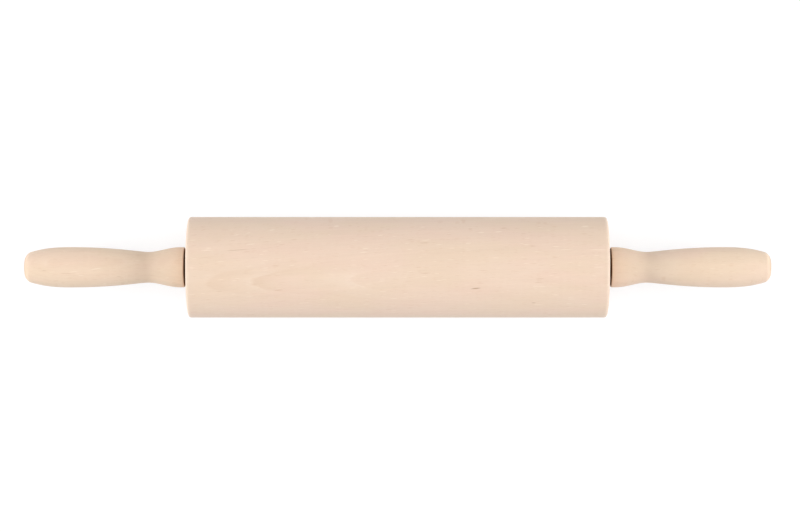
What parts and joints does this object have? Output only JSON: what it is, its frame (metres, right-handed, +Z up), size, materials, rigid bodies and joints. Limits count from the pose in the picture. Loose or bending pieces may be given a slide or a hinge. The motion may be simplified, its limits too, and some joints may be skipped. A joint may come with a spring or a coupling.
{
  "type": "roller rolling pin",
  "caption": "Wooden rolling pin whose thick straight barrel turns on an axle between two still turned handles.",
  "frame": {"origin": "middle of the barrel, on its axis", "axes": "+X along the axle towards the right handle, +Z up from the surface that the barrel lies on"},
  "size_m": [0.4442, 0.06, 0.06],
  "materials": {
    "beech_barrel": "bare steamed beech, turned and fine-sanded, matt, with short ray flecks",
    "beech_handle": "bare beech, turned and fine-sanded, a little yellower than the barrel",
    "axle_steel": "bright drawn bar with turned grooves",
    "bearing_steel": "ground bearing steel",
    "ball_steel": "polished",
    "cup_steel": "pressed sheet steel, dull zinc plated",
    "shield_steel": "stamped sheet steel",
    "spring_steel": "blackened spring steel, satin",
    "cage_nylon": "natural moulded nylon",
    "spacer_fibre": "dark brown pressed fibre, machined edges"
  },
  "bodies": {
    "handle_set": {"axle_rod": "axle_steel", "left_handle": "beech_handle", "right_handle": "beech_handle", "left_spacer": "spacer_fibre", "right_spacer": "spacer_fibre", "left_inner_ring": "bearing_steel", "right_inner_ring": "bearing_steel", "left_retaining_ring": "spring_steel", "right_retaining_ring": "spring_steel"},
    "roller": {"barrel": "beech_barrel", "left_bearing_cup": "cup_steel", "right_bearing_cup": "cup_steel", "left_outer_ring": "bearing_steel", "right_outer_ring": "bearing_steel", "left_inboard_shield": "shield_steel", "right_inboard_shield": "shield_steel", "left_outboard_shield": "shield_steel", "right_outboard_shield": "shield_steel"},
    "left_ball_set": {"left_bearing_balls": "ball_steel", "left_ball_cage": "cage_nylon"},
    "right_ball_set": {"right_bearing_balls": "ball_steel", "right_ball_cage": "cage_nylon"}
  },
  "joints": [
    {"name": "barrel_spin", "type": "hinge", "parent": "handle_set", "child": "roller", "pos_m": [0, 0, 0], "axis": [1, 0, 0], "continuous": true},
    {"name": "left_balls_orbit", "type": "hinge", "parent": "handle_set", "child": "left_ball_set", "pos_m": [-0.1195, 0, 0], "axis": [1, 0, 0], "continuous": true},
    {"name": "right_balls_orbit", "type": "hinge", "parent": "handle_set", "child": "right_ball_set", "pos_m": [0.1195, 0, 0], "axis": [1, 0, 0], "continuous": true}
  ],
  "couplings": [
    {"joint": "left_balls_orbit", "follows": "barrel_spin", "ratio": 0.6323},
    {"joint": "right_balls_orbit", "follows": "barrel_spin", "ratio": 0.6323}
  ]
}
